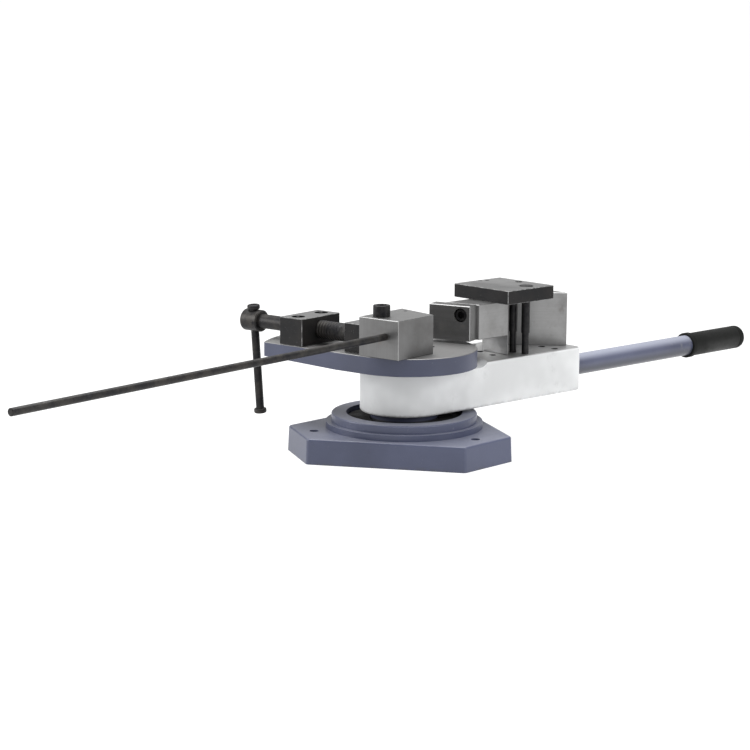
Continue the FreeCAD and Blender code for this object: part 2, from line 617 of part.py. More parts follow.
def grease_nipple():
    flats, height = NIPPLE_HEX
    neck, head, reach = NIPPLE_TIP
    body = cylinder(NIPPLE_RADIUS, 2 * height, NIPPLE_SEAT - ALONG * (2 * height), ALONG)
    body = body.fuse(hexagon(flats, height, NIPPLE_SEAT, ALONG))
    body = body.fuse(cylinder(neck, reach - height, NIPPLE_SEAT + ALONG * height, ALONG))
    tip = cylinder(head, height, NIPPLE_SEAT + ALONG * (reach - height / 2), ALONG)
    tip = tip.makeChamfer(EDGE, [edge for edge in tip.Edges if edge.BoundBox.XLength < 0.1])
    return on_arm(turned(body.fuse(tip), NIPPLE_ANGLE))


def lever_screw_blank():
    x = ARM_LENGTH - LEVER_SOCKET / 2
    height = LEVER_HEIGHT - LEVER_RADIUS - ARM_BOTTOM + 1.5
    return cylinder(LEVER_SCREW_RADIUS, height, vec(x, 0, ARM_BOTTOM - 1))


def lever_screw():
    x = ARM_LENGTH - LEVER_SOCKET / 2
    length = LEVER_HEIGHT - LEVER_RADIUS - ARM_BOTTOM - 0.5
    return on_arm(grub_screw(LEVER_SCREW_RADIUS, length, vec(x, 0, ARM_BOTTOM + 0.5), -Z))


def tool_outline():
    """Block on the pad with a right-angled vee in its pushing side and a clipped rear corner."""
    clip = TOOL_BACK - (NOSE_WIDTH - TOOL_SIDE)
    middle = (TOOL_START + TOOL_END) / 2
    return [(TOOL_START, -TOOL_SIDE), (middle, -TOOL_SIDE + VEE_DEPTH), (TOOL_END, -TOOL_SIDE),
            (TOOL_END, TOOL_BACK), (TOOL_START + clip, TOOL_BACK), (TOOL_START, NOSE_WIDTH - TOOL_SIDE)]


def jaw_placed(shape):
    shape = turned(shape, JAW_ANGLE)
    shape.translate(vec(*JAW_MIDDLE, TOOL_TOP - JAW[2]))
    return shape


def vee_block():
    body = prism(tool_outline(), PAD_TOP, TOOL_TOP)
    nose = box((0, -TOOL_SIDE, NOSE_BOTTOM), (TOOL_START + 1, NOSE_WIDTH - TOOL_SIDE, TOOL_TOP))
    beyond = jaw_placed(box((-200, -200, -1), (JAW[0], 200, JAW[2] + 1)))
    nose = nose.cut(beyond)
    wedge = prism([(0, -TOOL_SIDE), (TOOL_START + NOSE_WIDTH, -TOOL_SIDE + NOSE_WIDTH),
                   (0, -TOOL_SIDE + NOSE_WIDTH)], PAD_TOP, TOOL_TOP + 1)
    body = body.fuse(nose.common(wedge.fuse(box((0, -999, 0), (TOOL_START, 999, 999))))).removeSplitter()
    body = body.makeChamfer(EDGE, [edge for edge in body.Edges if edge.Length > 5])
    for x, y in TOOL_DOWELS:
        body = body.cut(cylinder(DOWEL_RADIUS, DOWEL_LENGTH / 2, vec(x, y, PAD_TOP)))
    for x, y in TOOL_BOLTS:
        body = body.cut(screw_hole(12, TOOL_TOP, vec(x, y, TOOL_TOP - SCREW_SINK)))
    tapped = vec(JAW[0] - 1, -JAW_SCREW_OUT, JAW[2] - JAW_SCREW_DROP)
    body = body.cut(jaw_placed(cylinder(CAP[12][0], JAW_SCREW_LENGTH - 2, tapped, ALONG)))
    return on_arm(body)


def vee_block_dowels():
    return [on_arm(cylinder(DOWEL_RADIUS, DOWEL_LENGTH, vec(x, y, PAD_TOP - DOWEL_LENGTH / 2)))
            for x, y in TOOL_DOWELS]


def vee_block_screws():
    seat = TOOL_TOP - SCREW_SINK
    length = seat - PAD_TOP + TOOL_BOLT_DEPTH
    return [on_arm(cap_screw(12, length, vec(x, y, seat))) for x, y in TOOL_BOLTS]


def jaw_seat():
    return vec(CAP[12][2] + JAW_HEAD_SINK, -JAW_SCREW_OUT, JAW[2] - JAW_SCREW_DROP)


def jaw_plate():
    thickness, length, height = JAW
    body = chamfer_all(box((0, -length / 2, 0), (thickness, length / 2, height)))
    body = body.cut(screw_hole(12, thickness, jaw_seat(), -ALONG))
    return on_arm(jaw_placed(body))


def jaw_screw():
    return on_arm(jaw_placed(cap_screw(12, JAW_SCREW_LENGTH, jaw_seat(), -ALONG)))


def top_plate():
    along, across, thick = PLATE
    x, y = PLATE_MIDDLE
    top = TOOL_TOP + thick
    body = chamfer_all(box((x - along / 2, y - across / 2, TOOL_TOP), (x + along / 2, y + across / 2, top)))
    body = body.cut(cylinder(PIN_RADIUS, thick * PLATE_BLIND, vec(*BLIND_PIN, TOOL_TOP)))
    body = body.cut(cylinder(PIN_RADIUS, thick + 2, vec(*HEAD_PIN, TOOL_TOP - 1)))
    body = body.cut(cylinder(PIN_HEAD[0] + 0.8, thick, vec(*HEAD_PIN, top - PIN_HEAD[1] + 1)))
    hole_x, hole_y, hole_radius = PLATE_FREE_HOLE
    body = body.cut(cylinder(hole_radius, thick + 2, vec(hole_x, hole_y, TOOL_TOP - 1)))
    for x, y in PLATE_GRUBS:
        body = body.cut(cylinder(GRUB_RADIUS, thick + 2, vec(x, y, TOOL_TOP - 1)))
    return on_arm(body)


def plate_grubs():
    top = TOOL_TOP + PLATE[2] - 0.6
    return [on_arm(grub_screw(GRUB_RADIUS, PLATE_GRUB_LENGTH, vec(x, y, top))) for x, y in PLATE_GRUBS]


def tool_pin(place, top):
    foot = PAD_TOP - PIN_DEPTH + 1
    body = cylinder(PIN_FOOT_RADIUS, PIN_STEP - foot, vec(*place, foot))
    return body.fuse(cylinder(PIN_RADIUS, top - PIN_STEP, vec(*place, PIN_STEP)))


def blind_pin():
    return on_arm(tool_pin(BLIND_PIN, TOOL_TOP + PLATE[2] * PLATE_BLIND))


def headed_pin():
    seat = TOOL_TOP + PLATE[2] - PIN_HEAD[1] + 1
    head = cylinder(PIN_HEAD[0], PIN_HEAD[1], vec(*HEAD_PIN, seat))
    rim = [edge for edge in head.Edges if edge.BoundBox.ZMin > seat + PIN_HEAD[1] - 0.1]
    head = head.makeChamfer(EDGE, rim)
    return on_arm(tool_pin(HEAD_PIN, seat).fuse(head))


def lever_tube():
    start = ARM_LENGTH - LEVER_SOCKET
    foot = vec(start, 0, LEVER_HEIGHT)
    return on_arm(tube(LEVER_RADIUS, LEVER_RADIUS - LEVER_WALL, LEVER_END - start, foot, ALONG))


def lever_grip():
    start = vec(GRIP_START, 0, LEVER_HEIGHT)
    body = cylinder(GRIP_RADIUS, GRIP_END - GRIP_START, start, ALONG)
    end = [edge for edge in body.Edges if edge.BoundBox.XMin > GRIP_END - 1]
    body = body.makeFillet(GRIP_RADIUS * GRIP_ROUND, end)
    collar = cylinder(GRIP_RADIUS + GRIP_COLLAR[0], GRIP_COLLAR[1], start, ALONG)
    collar = collar.makeFillet(1.2, [edge for edge in collar.Edges if edge.BoundBox.XLength < 0.1])
    body = body.fuse(collar)
    return on_arm(body.cut(cylinder(LEVER_RADIUS, LEVER_END - GRIP_START, start, ALONG)))


def lever_plug():
    start = LEVER_END - PLUG_LENGTH
    return on_arm(cylinder(LEVER_RADIUS - LEVER_WALL, PLUG_LENGTH, vec(start, 0, LEVER_HEIGHT), ALONG))


# ---- write every piece --------------------------------------------------------------------------
def main():
    os.makedirs("parts", exist_ok=True)
    pieces = {
        "base_casting": base_casting(),
        "pivot_shaft": pivot_shaft(),
        "shaft_washer": shaft_washer(),
        "shaft_nut": shaft_nut(),
        "lower_thrust_washer": thrust_washer(BOSS_TOP),
        "upper_thrust_washer": thrust_washer(HUB_SEAT),
        "lower_bush": bush(ARM_BOTTOM),
        "upper_bush": bush(HUB_SEAT - BUSH_LENGTH),
        "table_plate": table_plate(),
        "table_screws": table_screws(),
        "nut_block": nut_block(),
        "nut_block_screws": nut_block_screws(),
        "clamp_spindle": clamp_spindle(),
        "spindle_hub": spindle_hub(),
        "hub_pin": hub_pin(),
        "tommy_bar": tommy_bar(),
        "tommy_knobs": tommy_knobs(),
        "pusher_block": pusher_block(),
        "pusher_pins": pusher_pins(),
        "anvil_block": anvil_block(),
        "anvil_dowels": anvil_dowels(),
        "anvil_screw": anvil_screw(),
        "anvil_grub": anvil_grub(),
        "stop_rod": stop_rod(),
        "swing_arm": swing_arm(),
        "grease_nipple": grease_nipple(),
        "vee_block": vee_block(),
        "vee_block_dowels": vee_block_dowels(),
        "vee_block_screws": vee_block_screws(),
        "jaw_plate": jaw_plate(),
        "jaw_screw": jaw_screw(),
        "top_plate": top_plate(),
        "plate_grubs": plate_grubs(),
        "blind_pin": blind_pin(),
        "headed_pin": headed_pin(),
        "lever_tube": lever_tube(),
        "lever_grip": lever_grip(),
        "lever_plug": lever_plug(),
        "lever_screw": lever_screw(),
    }
    for name, piece in pieces.items():
        save(name, piece if isinstance(piece, list) else [piece])


main()
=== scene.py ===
import bpy
import json
import math
from mathutils import Matrix, Vector


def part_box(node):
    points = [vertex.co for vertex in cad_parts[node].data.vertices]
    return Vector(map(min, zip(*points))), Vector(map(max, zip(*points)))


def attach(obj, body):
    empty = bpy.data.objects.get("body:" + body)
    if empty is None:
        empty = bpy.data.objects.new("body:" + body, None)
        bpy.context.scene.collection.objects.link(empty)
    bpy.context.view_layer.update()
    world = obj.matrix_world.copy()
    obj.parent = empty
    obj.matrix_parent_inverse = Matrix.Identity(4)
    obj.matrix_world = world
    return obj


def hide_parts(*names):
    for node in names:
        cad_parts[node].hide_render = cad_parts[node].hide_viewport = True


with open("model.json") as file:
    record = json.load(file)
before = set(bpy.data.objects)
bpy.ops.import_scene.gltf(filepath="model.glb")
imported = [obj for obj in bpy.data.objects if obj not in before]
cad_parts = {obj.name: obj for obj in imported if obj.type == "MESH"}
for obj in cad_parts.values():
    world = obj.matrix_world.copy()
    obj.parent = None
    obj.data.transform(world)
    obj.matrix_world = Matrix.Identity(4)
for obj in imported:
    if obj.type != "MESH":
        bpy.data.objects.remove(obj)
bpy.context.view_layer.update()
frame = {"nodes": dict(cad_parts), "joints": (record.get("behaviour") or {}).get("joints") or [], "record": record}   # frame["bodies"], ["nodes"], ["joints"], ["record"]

NODES = frame["nodes"]
MM = 0.001
JOINTS = {joint["name"]: joint for joint in frame["joints"]}
PLACES = {mount["name"]: Vector(mount["pos_m"]) for mount in frame["record"]["mounts"]}

# The table's own frame follows the clamp's feed; the arm's lies square to the line of its tool sockets.
feed = JOINTS["clamp_feed"]["axis"]
across = PLACES["rear_tool_hole"] - PLACES["front_tool_hole"]
TABLE_TURN = math.atan2(feed[1], feed[0])
ARM_TURN = math.atan2(across.y, across.x) - math.pi / 2
ALONG_TABLE = Vector((math.cos(TABLE_TURN), math.sin(TABLE_TURN), 0))
ALONG_ARM = Vector((math.cos(ARM_TURN), math.sin(ARM_TURN), 0))
ACROSS_ARM = Vector((-math.sin(ARM_TURN), math.cos(ARM_TURN), 0))
ACROSS_TABLE = Vector((-math.sin(TABLE_TURN), math.cos(TABLE_TURN), 0))

# Heights and radii of the castings that the paints and the seal follow.
TABLE_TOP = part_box("table_plate")[1].z
ARM_FOOT, PAD_TOP = (corner.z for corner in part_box("swing_arm"))
RECESS_DEPTH = 16 * MM                # from the top of the base's ring to the floor inside it
RECESS_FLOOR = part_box("base_casting")[1].z - RECESS_DEPTH
RECESS_RADII = [math.hypot(v.co.x, v.co.y) for v in NODES["base_casting"].data.vertices
                if abs(v.co.z - RECESS_FLOOR) < 0.1 * MM]
RECESS_BOSS, RECESS_WALL = min(RECESS_RADII), max(RECESS_RADII)

THREAD_PITCH = 5 * MM
SOCKET_RADIUS = 5.25 * MM
# The arm's free tool sockets, along and across the arm from the front one, in millimetres.
SOCKETS = ((0, 0), (0, 26), (-107.5, 23), (-100.5, 56), (-66.5, 104), (0, 107))


# ---- shader helpers -----------------------------------------------------------------------------
class Value:
    """One socket of a material, usable in ordinary arithmetic."""

    def __init__(self, paint, socket):
        self.paint = paint
        self.socket = socket

    def maths(self, operation, *others):
        values = dict(enumerate((self,) + others))
        return self.paint.node("ShaderNodeMath", {"operation": operation}, values)

    def __add__(self, other):
        return self.maths("ADD", other)

    def __radd__(self, other):
        return self.maths("ADD", other)

    def __sub__(self, other):
        return self.maths("SUBTRACT", other)

    def __rsub__(self, other):
        return (self * -1.0).maths("ADD", other)

    def __mul__(self, other):
        return self.maths("MULTIPLY", other)

    def __rmul__(self, other):
        return self.maths("MULTIPLY", other)

    def __truediv__(self, other):
        return self.maths("DIVIDE", other)

    def __pow__(self, other):
        return self.maths("POWER", other)

    def __abs__(self):
        return self.maths("ABSOLUTE")

    def high(self, other):
        return self.maths("MAXIMUM", other)

    def low(self, other):
        return self.maths("MINIMUM", other)

    def ramp(self, start, end):
        """0 below start, 1 above end, smooth between."""
        values = {"Value": self, "From Min": start, "From Max": end, "To Min": 0.0, "To Max": 1.0}
        settings = {"interpolation_type": "SMOOTHSTEP"}
        return self.paint.node("ShaderNodeMapRange", settings, values)


class Paint:
    """A material under construction."""

    def __init__(self, name):
        self.material = bpy.data.materials.new(name)
        self.material.use_nodes = True
        self.tree = self.material.node_tree
        self.shader = next(n for n in self.tree.nodes if n.type == "BSDF_PRINCIPLED")
        place = self.tree.nodes.new("ShaderNodeTexCoord")
        self.place = Value(self, place.outputs["Object"])

    def node(self, kind, settings, values, out=0):
        made = self.tree.nodes.new(kind)
        for key, value in settings.items():
            setattr(made, key, value)
        for key, value in values.items():
            if isinstance(value, Value):
                self.tree.links.new(value.socket, made.inputs[key])
            else:
                made.inputs[key].default_value = value
        return Value(self, made.outputs[out])

    def split(self, vector):
        """The three coordinates of a vector, one socket each."""
        first = self.node("ShaderNodeSeparateXYZ", {}, {0: vector})
        return [Value(self, output) for output in first.socket.node.outputs]

    def turned(self, angle, stretch=(1, 1, 1)):
        """Object coordinates turned into a frame that lies at this angle, then stretched."""
        flat = self.node("ShaderNodeMapping", {}, {"Vector": self.place, "Rotation": (0, 0, -angle)})
        return self.node("ShaderNodeMapping", {}, {"Vector": flat, "Scale": stretch})

    def noise(self, scale, detail=4.0, roughness=0.55, where=None):
        values = {"Vector": where or self.place, "Scale": scale, "Detail": detail, "Roughness": roughness}
        return self.node("ShaderNodeTexNoise", {}, values)

    def cells(self, scale, where=None):
        values = {"Vector": where or self.place, "Scale": scale}
        return self.node("ShaderNodeTexVoronoi", {}, values)

    def facing(self, direction, kind="True Normal"):
        """How far a surface faces this direction: -1 to 1."""
        normal = self.node("ShaderNodeNewGeometry", {}, {}, kind)
        values = {0: normal, 1: tuple(direction)}
        return self.node("ShaderNodeVectorMath", {"operation": "DOT_PRODUCT"}, values, "Value")

    def mix(self, factor, a, b):
        return self.node("ShaderNodeMix", {"data_type": "RGBA"}, {0: factor, 6: a, 7: b}, 2)

    def blend(self, factor, a, b):
        return factor * b + (1.0 - factor) * a

    def bump(self, height, distance, strength=0.5, under=None):
        values = {"Height": height, "Distance": distance, "Strength": strength}
        if under:
            values["Normal"] = under
        return self.node("ShaderNodeBump", {}, values)

    def finish(self, **inputs):
        for key, value in inputs.items():
            socket = self.shader.inputs[key.replace("_", " ")]
            if isinstance(value, Value):
                self.tree.links.new(value.socket, socket)
            else:
                socket.default_value = value
        return self.material


def grey(level):
    return (level, level, level, 1.0)


def edges_of_block(paint, turn):
    """1 on the small chamfers of a square block that stands at this angle, 0 on its flat sides."""
    c, s = math.cos(turn), math.sin(turn)
    along = abs(paint.facing((c, s, 0)))
    across = abs(paint.facing((-s, c, 0)))
    upward = abs(paint.facing((0, 0, 1)))
    return 1.0 - along.high(across).high(upward).ramp(0.78, 0.9)


# ---- paints -------------------------------------------------------------------------------------
def enamel(paint, colour, depth=1.0):
    """Brushed-on machine enamel: cloudy tone, orange peel, dust and fine scratches."""
    dark = tuple(channel * 0.82 for channel in colour[:3]) + (1.0,)
    light = tuple(min(1.0, channel * 1.12 + 0.004) for channel in colour[:3]) + (1.0,)
    clouds = paint.noise(9.0, 3.0)
    tone = paint.mix(clouds.ramp(0.3, 0.7), dark, light)
    grime = paint.noise(34.0, 6.0, 0.7).ramp(0.56, 0.78)
    tone = paint.mix(grime * 0.16, tone, grey(0.03))
    peel = paint.noise(900.0, 2.0)
    sand = paint.noise(210.0, 5.0, 0.6)
    swell = paint.noise(38.0, 2.0)
    settled = paint.facing((0, 0, 1)).ramp(0.6, 0.95) * (0.5 + paint.noise(26.0, 5.0, 0.65) * 0.9)
    tone = paint.mix(settled * 0.12 * depth, tone, (0.52, 0.52, 0.55, 1.0))
    scratch = paint.noise(60.0, 2.0, 0.5, paint.turned(0.7, (1.0, 26.0, 5.0))).ramp(0.7, 0.76)
    tone = paint.mix(scratch * 0.12, tone, grey(0.5))
    rough = 0.36 + clouds * 0.12 + grime * 0.16 + scratch * 0.12
    relief = paint.bump(swell * 0.55 + sand * 0.3 * depth + peel * 0.1, 0.0009, 0.28 * depth)
    return tone, rough, relief


def cast_blue():
    """Slate-blue enamel over cast iron; inside the ring's recess the floor and lower walls are painted near
    black, a painted shade over a grease film.
    """
    paint = Paint("cast_blue")
    tone, rough, relief = enamel(paint, (0.053, 0.062, 0.112, 1.0), 1.3)
    x, y, z = paint.split(paint.place)
    radius = (x * x + y * y) ** 0.5
    # Painted shade: the recess inside the ring is painted near black, with a grease film varying it.
    recess = 1.0 - radius.ramp(RECESS_WALL - 0.4 * MM, RECESS_WALL + 0.4 * MM)
    recess = recess * z.ramp(RECESS_FLOOR - 1.5 * MM, RECESS_FLOOR - 0.5 * MM)
    recess = recess * (1.0 - z.ramp(RECESS_FLOOR + 9.0 * MM, RECESS_FLOOR + 11.0 * MM))
    film = paint.noise(60.0, 5.0).ramp(0.35, 0.7)
    tone = paint.mix(recess * (0.80 + film * 0.18), tone, (0.008, 0.008, 0.009, 1.0))
    rough = paint.blend(recess, rough, 0.42 + film * 0.2)
    foot = (1.0 - z.ramp(0.0, 0.006)) * paint.noise(70.0, 5.0, 0.7).ramp(0.46, 0.62)
    tone = paint.mix(foot * 0.5, tone, grey(0.045))
    chip = paint.cells(46.0).ramp(0.0, 0.07)
    spot = (1.0 - chip) * paint.noise(11.0, 2.0).ramp(0.6, 0.7)
    tone = paint.mix(spot * 0.8, tone, grey(0.055))
    return paint.finish(Base_Color=tone, Roughness=rough, Normal=relief, Coat_Weight=0.12, Coat_Roughness=0.3)


def tool_sockets(paint):
    """1 inside the arm's free tool sockets, 0 elsewhere."""
    along, side = paint.split(paint.turned(ARM_TURN))[:2]
    front = PLACES["front_tool_hole"]
    inside = 0.0
    for x, y in SOCKETS:
        dx = along - (front.dot(ALONG_ARM) + x * MM)
        dy = side - (front.dot(ACROSS_ARM) + y * MM)
        away = (dx * dx + dy * dy) ** 0.5
        inside = (1.0 - away.ramp(SOCKET_RADIUS + 0.1 * MM, SOCKET_RADIUS + 0.35 * MM)) + inside
    return inside.low(1.0)


def arm_white():
    """Light grey enamel on the arm; its pad is machined bare, the free sockets are painted near black as
    painted shade, and the paint darkens in patches towards the foot.
    """
    paint = Paint("arm_white")
    tone, rough, relief = enamel(paint, (0.68, 0.69, 0.695, 1.0), 0.8)
    z = paint.split(paint.place)[2]
    bare = z.ramp(PAD_TOP - 1.8 * MM, PAD_TOP - 0.4 * MM) * paint.facing((0, 0, 1)).ramp(0.55, 0.9)
    mill = paint.noise(1.0, 3.0, 0.6, paint.turned(ARM_TURN, (26.0, 620.0, 10.0)))
    steel = paint.mix(mill.ramp(0.2, 0.8), grey(0.38), grey(0.54))
    tone = paint.mix(bare, tone, steel)
    socket = tool_sockets(paint)
    smear = paint.noise(14.0, 5.0, 0.65).ramp(0.54, 0.72)
    tone = paint.mix(smear * 0.09, tone, (0.19, 0.17, 0.14, 1.0))
    foot = (1.0 - z.ramp(ARM_FOOT, ARM_FOOT + 7.5 * MM)) * paint.noise(80.0, 5.0, 0.7).ramp(0.4, 0.6)
    tone = paint.mix(foot * 0.35, tone, grey(0.16))
    # Painted shade: the free sockets are painted near black for the shade inside the holes.
    tone = paint.mix(socket * 0.97, tone, grey(0.012))
    rough = paint.blend(bare, rough, 0.36 + mill * 0.16)
    lines = paint.bump(mill * bare, 0.0001, 0.5, relief)
    return paint.finish(Base_Color=tone, Roughness=rough, Normal=lines,
                        Metallic=bare * 0.92 * (1.0 - socket), Coat_Weight=0.08, Coat_Roughness=0.3)


def table_blue():
    """Slate-blue enamel round the sides; the top is turned bright and rubbed by stock."""
    paint = Paint("table_blue")
    tone, rough, relief = enamel(paint, (0.043, 0.050, 0.090, 1.0))
    x, y, z = paint.split(paint.place)
    bare = z.ramp(TABLE_TOP - 1.0 * MM, TABLE_TOP - 0.6 * MM)
    radius = (x * x + y * y) ** 0.5
    wobble = paint.noise(30.0, 2.0) * 0.0006
    spread = paint.node("ShaderNodeCombineXYZ", {}, {0: (radius + wobble) * 1500.0})
    rings = paint.noise(1.0, 3.0, 0.6, spread)
    wipe = paint.noise(8.0, 5.0, 0.6).ramp(0.3, 0.75)
    steel = paint.mix(rings.ramp(0.25, 0.75), grey(0.21), grey(0.32))
    steel = paint.mix(wipe * 0.35, steel, (0.16, 0.15, 0.145, 1.0))
    tone = paint.mix(bare, tone, steel)
    rough = paint.blend(bare, rough, 0.42 + rings * 0.12 + wipe * 0.12)
    lines = paint.bump(rings * bare, 0.00012, 0.45, relief)
    return paint.finish(Base_Color=tone, Roughness=rough, Normal=lines, Metallic=bare * 0.95)


def lever_blue():
    """The same enamel on drawn tube: smoother, with a painted highlight on top and painted shade below,
    rubbed thin next to the grip.
    """
    paint = Paint("lever_blue")
    tone, rough, relief = enamel(paint, (0.074, 0.082, 0.132, 1.0), 0.35)
    along = paint.split(paint.turned(ARM_TURN))[0]
    grip = reach("lever_grip", ALONG_ARM)[0]
    near_grip = along.ramp(grip - 86 * MM, grip - 6 * MM) * paint.noise(90.0, 5.0, 0.7).ramp(0.52, 0.68)
    tone = paint.mix(near_grip * 0.35, tone, grey(0.24))
    upward = paint.facing((0, 0, 1), "Normal")
    # Painted highlight: faces turned up are lightened towards a pale blue-grey.
    tone = paint.mix(upward.ramp(0.35, 0.95) * 0.55, tone, (0.40, 0.42, 0.50, 1.0))
    # Painted shade: faces turned down are darkened towards near black.
    tone = paint.mix((upward * -1.0).ramp(-0.2, 0.5) * 0.75, tone, (0.020, 0.022, 0.030, 1.0))
    return paint.finish(Base_Color=tone, Roughness=rough - 0.06, Normal=relief, Coat_Weight=0.2,
                        Coat_Roughness=0.22)


# ---- bare and blackened metal -------------------------------------------------------------------
def ground_steel(name, turn, level=0.50, stretch=(9.0, 900.0, 900.0), bevel=True, rubbed=0.0):
    """Ground tool steel: fine grinding lines, oily blotches, small nicks; chamfers lightened as a painted
    highlight, and upward faces lightened as a painted highlight when asked.
    """
    paint = Paint(name)
    lines = paint.noise(1.0, 3.0, 0.65, paint.turned(turn, stretch))
    blotch = paint.noise(17.0, 6.0, 0.62)
    cloud = blotch.ramp(0.35, 0.72)
    stain = paint.noise(55.0, 6.0, 0.72).ramp(0.57, 0.75)
    haze = paint.noise(5.0, 3.0, 0.5).ramp(0.3, 0.7)
    tone = paint.mix(lines.ramp(0.2, 0.8), grey(level * 0.92), grey(level * 1.08))
    tone = paint.mix(haze * 0.5, tone, grey(level * 1.5))
    tone = paint.mix(cloud * 0.5, tone, (level * 0.52, level * 0.50, level * 0.48, 1.0))
    tone = paint.mix(stain * 0.30, tone, (0.13, 0.105, 0.085, 1.0))
    # Painted highlight: faces turned up are lightened by this much, standing in for light on the tops.
    if rubbed:
        tone = paint.mix(paint.facing((0, 0, 1)).ramp(0.7, 0.95) * rubbed, tone, grey(level * 2.2))
    rough = 0.27 + lines * 0.12 + cloud * 0.12 + stain * 0.14
    # Painted highlight: the chamfers are lightened towards pale grey.
    if bevel:
        edge_highlight = edges_of_block(paint, turn)
        tone = paint.mix(edge_highlight * 0.45, tone, grey(min(0.8, level * 3.0)))
        rough = paint.blend(edge_highlight, rough, 0.24)
    nick = 1.0 - paint.cells(95.0).ramp(0.0, 0.05)
    nick = nick * paint.noise(20.0, 2.0).ramp(0.55, 0.65)
    relief = paint.bump(lines * 0.4 - nick, 0.00016, 0.5)
    return paint.finish(Base_Color=tone, Roughness=rough, Normal=relief, Metallic=0.9)


def black_block(name, turn):
    """Heat-blackened block: sooty, faintly blue-brown, edges rubbed back to steel."""
    paint = Paint(name)
    cloud = paint.noise(16.0, 5.0, 0.6).ramp(0.3, 0.75)
    mill = paint.noise(1.0, 2.0, 0.5, paint.turned(turn, (14.0, 420.0, 420.0)))
    tone = paint.mix(cloud, (0.012, 0.0125, 0.014, 1.0), (0.026, 0.024, 0.023, 1.0))
    smear = paint.noise(12.0, 4.0, 0.6).ramp(0.3, 0.65)
    # Faces turned up are lightened towards grey: mostly a painted highlight on the tops, with a little wiping
    # wear from the noise.
    lit_and_wiped_top = paint.facing((0, 0, 1)).ramp(0.7, 0.95) * (0.55 + smear * 0.3)
    tone = paint.mix(lit_and_wiped_top, tone, grey(0.20))
    scratch = paint.noise(70.0, 2.0, 0.5, paint.turned(turn + 0.5, (1.0, 30.0, 6.0))).ramp(0.69, 0.75)
    tone = paint.mix(scratch * 0.5, tone, grey(0.19))
    worn = edges_of_block(paint, turn) * (0.25 + paint.noise(120.0, 4.0, 0.7).ramp(0.4, 0.62) * 0.55)
    tone = paint.mix(worn, tone, grey(0.36))
    rough = 0.42 + cloud * 0.12 + mill * 0.1 - worn * 0.1
    relief = paint.bump(mill * 0.5 + paint.noise(420.0, 4.0) * 0.5, 0.00014, 0.5)
    return paint.finish(Base_Color=tone, Roughness=rough, Normal=relief, Metallic=0.45,
                        Specular_IOR_Level=0.2)


def black_bar(name, turn, stretch, worn_level=0.12, thread=None):
    """Blackened round bar: drawn lengthways, mottled scale, polished a little by hands."""
    paint = Paint(name)
    drawn = paint.noise(1.0, 3.0, 0.6, paint.turned(turn, stretch))
    scale = paint.noise(48.0, 6.0, 0.68)
    tone = paint.mix(scale.ramp(0.36, 0.66), (0.014, 0.014, 0.016, 1.0), (0.040, 0.037, 0.034, 1.0))
    rub = paint.noise(20.0, 4.0, 0.6).ramp(0.55, 0.72)
    tone = paint.mix(rub * 0.4, tone, grey(worn_level))
    rough = 0.33 + scale * 0.16 + drawn * 0.08 - rub * 0.06
    relief = paint.bump(drawn * 0.35 + scale * 0.4, 0.0002, 0.5)
    if thread:
        relief = paint.bump(thread(paint), 0.0012, 0.75, relief)
    return paint.finish(Base_Color=tone, Roughness=rough, Normal=relief, Metallic=0.5,
                        Specular_IOR_Level=0.25)


def spindle_thread(paint):
    """A right-hand helix of 5 mm pitch round the spindle, only on its threaded middle."""
    x, y, z = paint.split(paint.turned(TABLE_TURN))
    hub = Vector(JOINTS["spindle_turn"]["pos_m"])
    angle = (z - hub.z).maths("ARCTAN2", y - hub.dot(ACROSS_TABLE))
    wave = ((x * (math.tau / THREAD_PITCH)) - angle).maths("SINE")
    first = reach("nut_block", ALONG_TABLE)[0] - 5 * MM
    last = reach("pusher_block", ALONG_TABLE)[0] - 1 * MM
    return wave * x.ramp(first, first + 1.5 * MM) * (1.0 - x.ramp(last - 1.5 * MM, last)) * 0.5


def screw_black():
    """Oiled black finish of bought-in screws and pins: darker and slicker than the blocks."""
    paint = Paint("screw_black")
    speck = paint.noise(160.0, 5.0, 0.65)
    tone = paint.mix(speck.ramp(0.35, 0.7), (0.010, 0.010, 0.012, 1.0), (0.026, 0.025, 0.025, 1.0))
    streak = paint.noise(1.0, 3.0, 0.6, paint.turned(0.0, (700.0, 700.0, 12.0)))
    rough = 0.26 + speck * 0.16 + streak * 0.1
    rim = paint.noise(60.0, 4.0).ramp(0.5, 0.7) * paint.facing((0, 0, 1)).ramp(0.9, 1.0)
    tone = paint.mix(rim * 0.35, tone, grey(0.09))
    relief = paint.bump(streak * 0.4 + speck * 0.3, 0.00012, 0.5)
    return paint.finish(Base_Color=tone, Roughness=rough, Normal=relief, Metallic=0.6, Specular_IOR_Level=0.3)


def turned_steel():
    """Bright turned steel under an oil film, for the pivot shaft and dowels."""
    paint = Paint("turned_steel")
    z = paint.split(paint.place)[2]
    lathe = paint.noise(1.0, 2.0, 0.5, paint.node("ShaderNodeCombineXYZ", {}, {2: z * 2600.0}))
    film = paint.noise(40.0, 4.0).ramp(0.4, 0.7)
    tone = paint.mix(lathe.ramp(0.3, 0.7), grey(0.42), grey(0.60))
    tone = paint.mix(film * 0.3, tone, (0.22, 0.19, 0.13, 1.0))
    return paint.finish(Base_Color=tone, Roughness=0.22 + lathe * 0.14 + film * 0.1, Metallic=0.95,
                        Normal=paint.bump(lathe, 0.00008, 0.4))


